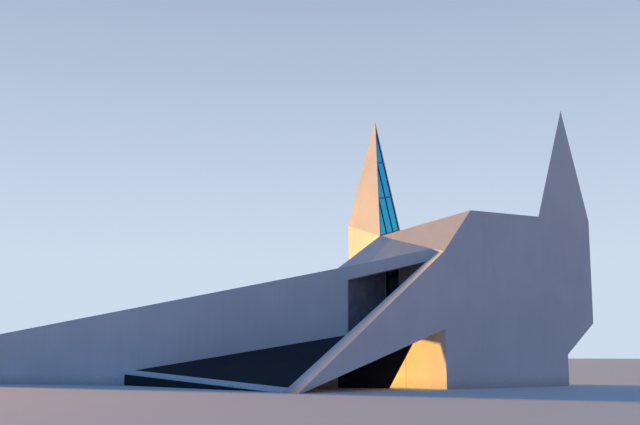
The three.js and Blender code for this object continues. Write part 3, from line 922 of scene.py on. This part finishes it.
@dataclass
class Nave:
    """The nave's walls, floor and roof facets.

    Sizes are in the drawing's millimetres, apart from the rounding's width in metres.
    """

    joint_at: float = 2730.0
    joint_width: float = 16.0
    joint_rise: float = 3.0
    joint_top: float = 2380.0
    joint_ease: float = 0.0008

    def build(self, shop: Workshop) -> None:
        """Dresses the nave, and adds the sealed joint of its front wall.

        Args:
            shop: where the pieces are made.
        """
        white = ["near_wall", "far_wall", "end_wall", "end_soffit", "end_foot"]
        white += [f"front_wall_{part}" for part in ("near", "far", "under", "over")]
        white += [f"roof_{part}" for part in ("front", "near", "middle", "far")]
        shop.dress(white, WHITE_COATING)
        shop.dress(["nave_floor"], CONCRETE)
        half = self.joint_width / 2
        low = (-self.joint_rise, self.joint_at - half, 0)
        high = (0, self.joint_at + half, self.joint_top)
        shop.add("front_wall_joint", box_shape(low, high, self.joint_ease), SEAL)


def height_over(corners: Sequence[Point], x: float, y: float) -> float:
    """The height over a place in plan of the plane through three corners."""
    a, b, c = (Vector(corner) for corner in corners)
    normal = (b - a).cross(c - a)
    return a.z - (normal.x * (x - a.x) + normal.y * (y - a.y)) / normal.z


@dataclass
class Porch:
    """The covered entrance between the portal and the nave, lined with boards and slate whose darker tones
    are painted shade.

    Sizes are in the drawing's millimetres, apart from the rounding's width in metres.
    """

    fold: Point = (0, 3690, 7013.0)
    corner: Point = (0, 800, 6266.6)
    fold_foot: Point = (-1727.2, 3092.0, 5744.4)
    left_foot: Point = (-2690.1, 4369.9, 5493.2)
    roof_depth: float = 300.0
    floor: float = 3016.0
    floor_slope: float = 0.2530
    boards_from: float = 812.0
    lintel_back: float = 1412.0
    lintel_height: float = 5735.0
    lintel_fall: float = 0.198
    portal_angle: float = 53.0
    door_start: float = 3166.0
    door_end: float = 4140.0
    door_head: float = 5714.0
    end_wall_outer: Place = (-2350.0, 4006.3)
    end_wall_inner: Place = (-19.5, 4144.9)
    end_wall_turn: float = 0.18
    right_ceiling: tuple[Place, ...] = ((-30, 1440), (-30, 3660), (-1345, 3205))
    left_ceiling: tuple[Place, ...] = ((-30, 3705), (-30, 4130), (-1975, 4012), (-1372, 3238))
    slate: float = 580.0
    board: float = 116.0
    gap: float = 7.0
    thickness: float = 18.0
    clearance: float = 12.0
    ease: float = 0.003

    def build(self, shop: Workshop) -> None:
        """Dresses the porch, and lines its inner wall, end wall and ceiling with darker boards and slate as
        painted shade.

        Args:
            shop: where the pieces are made.
        """
        roof = ["porch_roof_right", "porch_roof_left"]
        shop.dress(["porch_end_wall", "entrance_lintel", *roof], WHITE_COATING)
        shop.dress(["porch_floor"], CONCRETE)
        # The entrance foot's dark asphalt is painted shade under the ramp; the porch paving's asphalt is its
        # own.
        shop.dress(["porch_paving", "entrance_foot"], ASPHALT)
        # Painted shade: the boards and ceiling panels are darker than the white walls, standing in for deep
        # shade inside the porch.
        shop.add("front_wall_painted_shade_boards", self.wall_boards(), LARCH_PAINTED_SHADE)
        shop.add("ceiling_painted_shade_panels", self.ceiling_painted_shade_panels(), LARCH_PAINTED_SHADE)
        # Painted shade: the slates are darker than the white end wall, standing in for deep shade there.
        shop.add("end_wall_painted_shade_slates", self.end_wall_painted_shade_slates(), SLATE_PAINTED_SHADE)

    def underside(self, x: float, y: float) -> float:
        """The height just under the porch roof, over a place in plan."""
        right = height_over((self.fold, self.corner, self.fold_foot), x, y)
        left = height_over((self.fold, self.fold_foot, self.left_foot), x, y)
        return min(right, left) - self.roof_depth - self.clearance

    def under_lintel(self, x: float, y: float) -> float:
        """The height just under the lintel's sloping soffit, over a place in plan."""
        angle = math.radians(self.portal_angle)
        along = (y - self.corner[1]) * math.sin(angle) - x * math.cos(angle)
        return self.lintel_height - self.lintel_fall * along - self.clearance

    def wall_boards(self) -> Shape:
        """Upright boards on the nave's front wall, beside the door and over it, darker as painted shade."""
        push = Vector((-self.thickness * MM, 0, 0))
        boards = []
        for start, end, foot, head in (
            (self.boards_from, self.lintel_back, self.floor, self.under_lintel),
            (self.lintel_back, self.door_start, self.floor, self.underside),
            (self.door_start, self.door_end, self.door_head, self.underside),
        ):
            count = round((end - start) / (self.board + self.gap))
            pitch = (end - start) / count
            for number in range(count):
                near = start + number * pitch
                far = near + pitch - self.gap
                tops = [head(-self.thickness, y) for y in (near, far)]
                outline = [at(0, near, foot), at(0, far, foot), at(0, far, tops[1]), at(0, near, tops[0])]
                boards.append(extruded(outline, push, self.ease))
        return joined(boards)

    def end_wall_painted_shade_slates(self) -> Shape:
        """Tall slate panels on the inner face of the end wall, from the portal to the door, darker as
        painted shade.
        """
        outer, inner = Vector(self.end_wall_outer), Vector(self.end_wall_inner)
        length = (inner - outer).length
        along = (inner - outer).normalized()
        push = Vector((along.y, -along.x, 0)) * self.thickness * MM
        panels = []
        for start, end, head in (
            (0.0, self.end_wall_turn, self.under_lintel),
            (self.end_wall_turn, 1.0, self.underside),
        ):
            count = max(1, round((end - start) * length / self.slate))
            for number in range(count):
                near = outer.lerp(inner, start + (end - start) * number / count)
                far = outer.lerp(inner, start + (end - start) * (number + 1) / count - self.gap / length)
                outline = [at(*point, self.floor + point.x * self.floor_slope) for point in (near, far)]
                outline += [at(*point, head(*point)) for point in (far, near)]
                panels.append(extruded(outline, push, self.ease))
        return joined(panels)

    def ceiling_painted_shade_panels(self) -> Shape:
        """A panel under each facet of the porch roof, darker as painted shade."""
        rise = Vector((0, 0, self.clearance * MM))
        panels = []
        for plan in (self.right_ceiling, self.left_ceiling):
            outline = [at(x, y, self.underside(x, y)) for x, y in plan]
            panels.append(extruded(outline, rise, self.ease))
        return joined(panels)


@dataclass
class Approach:
    """The ramp, with the long wall and the parapet beside it."""

    strip_ease: float = 0.006

    def build(self, shop: Workshop) -> None:
        """Dresses the ramp and its walls.

        Args:
            shop: where the pieces are made.
        """
        shop.dress(["long_wall", "near_parapet"], WHITE_COATING)
        shop.dress(["ramp_paving", "threshold_base"], ASPHALT)
        shop.dress(["ramp_slab"], CONCRETE)
        shop.dress(["threshold_strip"], EDGING, self.strip_ease)


@dataclass
class Door:
    """The glazed door and its frame in the nave's front wall.

    Sizes are in the drawing's millimetres. Profiles and rounding widths are in metres.
    """

    floor: float = 3010.0
    frame_start: float = 3170.3
    frame_end: float = 4139.7
    frame_face: float = 55.0
    frame_outside: float = 20.0
    transom_low: float = 5260.0
    transom_high: float = 5710.0
    leaf_start: float = 3231.3
    leaf_end: float = 4078.7
    leaf_bottom: float = 3018.0
    leaf_top: float = 5254.0
    leaf_front: float = 90.0
    leaf_back: float = 140.0
    stile: float = 90.0
    pane: float = 16.0
    seal: float = 9.0
    seal_rise: float = 6.0
    transom_seal_rises: Place = (8.0, -5.0)
    transom_seal_inset: float = 20.0
    sill_thickness: float = 3.0
    sill_setback: float = 2.0
    sill_end_gap: float = 1.0
    rib_offsets: tuple[float, ...] = (16.0, 42.0, 66.0, 92.0)
    rib_width: float = 8.0
    rib_rise: float = 1.5
    rib_inset: float = 5.0
    plate_thickness: float = 1.5
    plate_side_gap: float = 16.0
    plate_gap: float = 6.0
    hinge_x: float = 149.6
    hinge_y: float = 4084.7
    hinge_heights: tuple[float, ...] = (250.0, 1100.0, 1950.0)
    knuckle: float = 55.0
    knuckle_gap: float = 0.3
    grip_stand: float = 50.0
    grip_middle: float = 1050.0
    grip_length: float = 600.0
    lock_height: float = 600.0
    rosette: tuple[Place, ...] = ((0, 0), (0, 0.026), (0.005, 0.026), (0.008, 0.022))
    cylinder: tuple[Place, ...] = ((0.008, 0.010), (0.014, 0.009), (0.014, 0))
    grip_cap: tuple[Place, ...] = ((0, 0), (0, 0.014), (0.003, 0.014), (0.007, 0.0112), (0.009, 0))
    pin_head: tuple[Place, ...] = ((0, 0), (0, 0.0075), (0.003, 0.0075), (0.006, 0.004), (0.007, 0))
    ease: float = 0.001
    plate_ease: float = 0.0004

    def build(self, shop: Workshop) -> None:
        """Dresses the door, and adds its small fittings.

        Args:
            shop: where the pieces are made.
        """
        shop.dress(["door_frame", "door_leaf"], DARK_ALUMINIUM, 1.5 * self.ease)
        shop.dress(["door_glass", "transom_glass"], DOOR_GLASS)
        hinges = [f"{part}_hinge_{number}" for part in ("frame", "leaf") for number in (1, 2, 3)]
        shop.dress(hinges + ["pull_handle_inside", "pull_handle_outside"], STAINLESS)
        shop.add("door_sill", self.sill(), STAINLESS)
        shop.add("transom_seal", self.transom_seal(), SEAL)
        shop.add("leaf_seal", self.leaf_seal(), SEAL, Body.DOOR)
        shop.add("kick_plates", self.kick_plates(), STAINLESS, Body.DOOR)
        shop.add("lock_rosettes", self.locks(), STAINLESS, Body.DOOR)
        shop.add("grip_caps", self.grip_caps(), STAINLESS, Body.DOOR)
        upper = 2 * self.knuckle + self.knuckle_gap
        shop.add("leaf_hinge_caps", self.hinge_caps(upper, 1), STAINLESS, Body.DOOR)
        shop.add("frame_hinge_caps", self.hinge_caps(0.0, -1), STAINLESS)

    def sill(self) -> Shape:
        """The ribbed plate under the leaf."""
        end_gap = self.frame_face + self.sill_end_gap
        start, end = self.frame_start + end_gap, self.frame_end - end_gap
        front, back = self.frame_outside + self.sill_setback, self.leaf_back - self.sill_setback
        top = self.floor + self.sill_thickness
        parts = [box_shape((front, start, self.floor), (back, end, top), self.ease)]
        for offset in self.rib_offsets:
            low = (front + offset, start + self.rib_inset, top)
            high = (front + offset + self.rib_width, end - self.rib_inset, top + self.rib_rise)
            parts.append(box_shape(low, high, self.ease / 2))
        return joined(parts)

    def pane_ring(self, low: Place, high: Place, x: float, push: float) -> Shape:
        """A seal round an upright pane.

        Args:
            low: the opening's lowest Y and Z.
            high: its highest Y and Z.
            x: the pane's surface.
            push: how far the seal stands off it.

        Returns:
            The seal.
        """
        sides = []
        for inset in (0.0, self.seal):
            (y0, z0), (y1, z1) = ([v + inset for v in low], [v - inset for v in high])
            sides.append([at(x, y0, z0), at(x, y1, z0), at(x, y1, z1), at(x, y0, z1)])
        return ring(*sides, Vector((push * MM, 0, 0)), self.ease)

    def leaf_seal(self) -> Shape:
        """The seals on both sides of the leaf's pane."""
        low = (self.leaf_start + self.stile, self.leaf_bottom + self.stile)
        high = (self.leaf_end - self.stile, self.leaf_top - self.stile)
        middle = (self.leaf_front + self.leaf_back) / 2
        sides = [(way, middle + way * self.pane / 2) for way in (1, -1)]
        return joined([self.pane_ring(low, high, x, way * self.seal_rise) for way, x in sides])

    def transom_seal(self) -> Shape:
        """The seals on both sides of the pane over the door."""
        rises, inset = self.transom_seal_rises, self.transom_seal_inset
        y0, y1 = self.frame_start + self.frame_face, self.frame_end - self.frame_face
        z0, z1 = self.transom_low + self.frame_face, self.transom_high - self.frame_face
        back = self.pane_ring((y0, z0), (y1, z1), self.leaf_front + self.pane, rises[0])
        low, high = (y0 + inset, z0 + inset), (y1 - inset, z1 - inset)
        return joined([back, self.pane_ring(low, high, self.leaf_front, rises[1])])

    def kick_plates(self) -> Shape:
        """The plates on both sides of the leaf's bottom rail."""
        start, end = self.leaf_start + self.plate_side_gap, self.leaf_end - self.plate_side_gap
        low, high = self.leaf_bottom + self.plate_gap, self.leaf_bottom + self.stile - self.plate_gap
        backs = (self.leaf_back, self.leaf_front - self.plate_thickness)
        corners = [((x, start, low), (x + self.plate_thickness, end, high)) for x in backs]
        return joined([box_shape(*pair, self.plate_ease) for pair in corners])

    def locks(self) -> Shape:
        """The rosettes with their lock cylinders, on both sides of the leaf."""
        y, z = self.leaf_start + self.stile / 2, self.leaf_bottom + self.lock_height
        sides = ((self.leaf_back, 1), (self.leaf_front, -1))
        profile = self.rosette + self.cylinder
        return joined([turned(profile, at(x, y, z), (way, 0, 0)) for x, way in sides])

    def grip_caps(self) -> Shape:
        """The domed ends of both pull handles."""
        y = self.leaf_start + self.stile / 2
        middle = self.leaf_bottom + self.grip_middle
        caps = []
        for x in (self.leaf_back + self.grip_stand, self.leaf_front - self.grip_stand):
            for way in (-1, 1):
                end = at(x, y, middle + way * self.grip_length / 2)
                caps.append(turned(self.grip_cap, end, (0, 0, way)))
        return joined(caps)

    def hinge_caps(self, rise: float, way: int) -> Shape:
        """The turned pin heads at one end of each hinge.

        Args:
            rise: how far over the hinge's foot they start.
            way: 1 for heads that point up, -1 for heads that point down.

        Returns:
            The heads.
        """
        levels = [self.leaf_bottom + height + rise for height in self.hinge_heights]
        places = [at(self.hinge_x, self.hinge_y, level) for level in levels]
        return joined([turned(self.pin_head, place, (0, 0, way)) for place in places])


@dataclass
class Studio:
    """A plain pale floor, a plain soft surround, one warm low lamp and the camera.

    The camera's angles come from the photograph: how many of its pixels make the focal length,
    and how far the horizon lies under its middle.
    """

    floor_half: float = 400.0
    floor_drop: float = 0.002
    floor_colour: str = "#E8EAE6"
    floor_roughness: float = 0.9
    surround_left: str = "#3F80C4"
    surround_right: str = "#94809C"
    surround_behind: str = "#CEDCEE"
    surround_above: str = "#5476A2"
    right_range: Place = (-0.5, 0.6)
    behind_range: Place = (0.1, 0.85)
    above_range: Place = (0.1, 0.75)
    lamp_colour: str = "#FFC062"
    lamp_energy: float = 9.6
    lamp_towards: Point = (-0.36, 0.92, 0.06)
    lamp_spread: float = math.radians(2.5)
    eye: Point = (-20.7946, -45.7128, 1.44)
    heading: float = math.radians(35)
    picture_width: float = 640.0
    focal_pixels: float = 900.0
    horizon_pixels: float = 143.5
    sensor: float = 36.0
    sight: float = 1000.0

    def build(self) -> None:
        """Sets up the floor, the surround, the lamp and the camera."""
        self.lay_floor()
        self.light_surround()
        self.hang_lamp()
        self.set_camera()

    def lay_floor(self) -> None:
        """Lays the pale floor under the building."""
        half = self.floor_half
        mesh = bpy.data.meshes.new("studio_floor")
        plan = ((-half, -half), (half, -half), (half, half), (-half, half))
        mesh.from_pydata([(*place, -self.floor_drop) for place in plan], [], [(0, 1, 2, 3)])
        material = bpy.data.materials.new("studio_paper")
        material.use_nodes = True
        inputs = material.node_tree.nodes["Principled BSDF"].inputs
        inputs["Roughness"].default_value = self.floor_roughness
        inputs["Base Color"].default_value = hex_to_linear(self.floor_colour)
        mesh.materials.append(material)
        placed("studio_floor", mesh)

    def light_surround(self) -> None:
        """Lights the scene softly: pale behind, blue above and to the left, rosy to the right."""
        world = bpy.data.worlds.new("studio_surround")
        world.use_nodes = True
        wiring = Wiring(world.node_tree)
        way = wiring.add("TexCoord").outputs["Generated"]
        behind = (math.sin(self.heading), math.cos(self.heading), 0.0)
        right = (math.cos(self.heading), -math.sin(self.heading), 0.0)
        facing, across = (
            wiring.add("VectorMath", {"operation": "DOT_PRODUCT", 1: axis}, {0: way}).outputs[1]
            for axis in (behind, right)
        )
        height = wiring.height(way)
        rosy = wiring.remap(across, self.right_range)
        colour = wiring.mix(rosy, self.surround_left, self.surround_right)
        colour = wiring.mix(wiring.remap(facing, self.behind_range), colour, self.surround_behind)
        colour = wiring.mix(wiring.remap(height, self.above_range), colour, self.surround_above)
        wiring.tree.links.new(colour, wiring.tree.nodes["Background"].inputs["Color"])
        bpy.context.scene.world = world

    def hang_lamp(self) -> None:
        """Hangs a soft warm lamp low behind the building, to its left."""
        data = bpy.data.lights.new("key_lamp", "SUN")
        data.energy = self.lamp_energy
        data.color = hex_to_linear(self.lamp_colour)[:3]
        data.angle = self.lamp_spread
        lamp = placed("key_lamp", data)
        lamp.rotation_euler = Vector(self.lamp_towards).to_track_quat("Z", "Y").to_euler()

    def set_camera(self) -> None:
        """Stands the camera where the photograph was taken from."""
        data = bpy.data.cameras.new("camera")
        data.sensor_fit = "HORIZONTAL"
        data.sensor_width = self.sensor
        data.lens = self.sensor * self.focal_pixels / self.picture_width
        data.clip_end = self.sight
        camera = placed("camera", data)
        camera.location = self.eye
        pitch = math.atan(self.horizon_pixels / self.focal_pixels)
        camera.rotation_euler = (math.pi / 2 + pitch, 0, -self.heading)
        bpy.context.scene.camera = camera
        bpy.context.scene.view_settings.view_transform = "Standard"


def main() -> None:
    """Loads the frame, dresses it sub-assembly by sub-assembly, and sets up the studio."""
    logging.basicConfig(level=logging.INFO, format="%(message)s")
    for leftover in list(bpy.data.objects):
        bpy.data.objects.remove(leftover)
    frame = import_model()
    Studio().build()
    shop = Workshop(frame["nodes"])
    Nave().build(shop)
    Spire(
        "near_spire",
        apex=(8290, 0, 13860),
        foot=(6320, 0, 8189.9),
        corner=(10100, 0, 8280),
        reach=(10100, 2570, 8243.8),
    ).build(shop)
    Spire(
        "far_spire",
        apex=(1810, 7100, 13860),
        foot=(3450, 7100, 8094.4),
        corner=(0, 7100, 8050),
        reach=(0, 4530, 7230),
    ).build(shop)
    Porch().build(shop)
    Approach().build(shop)
    Door().build(shop)


if __name__ == "__main__":
    main()
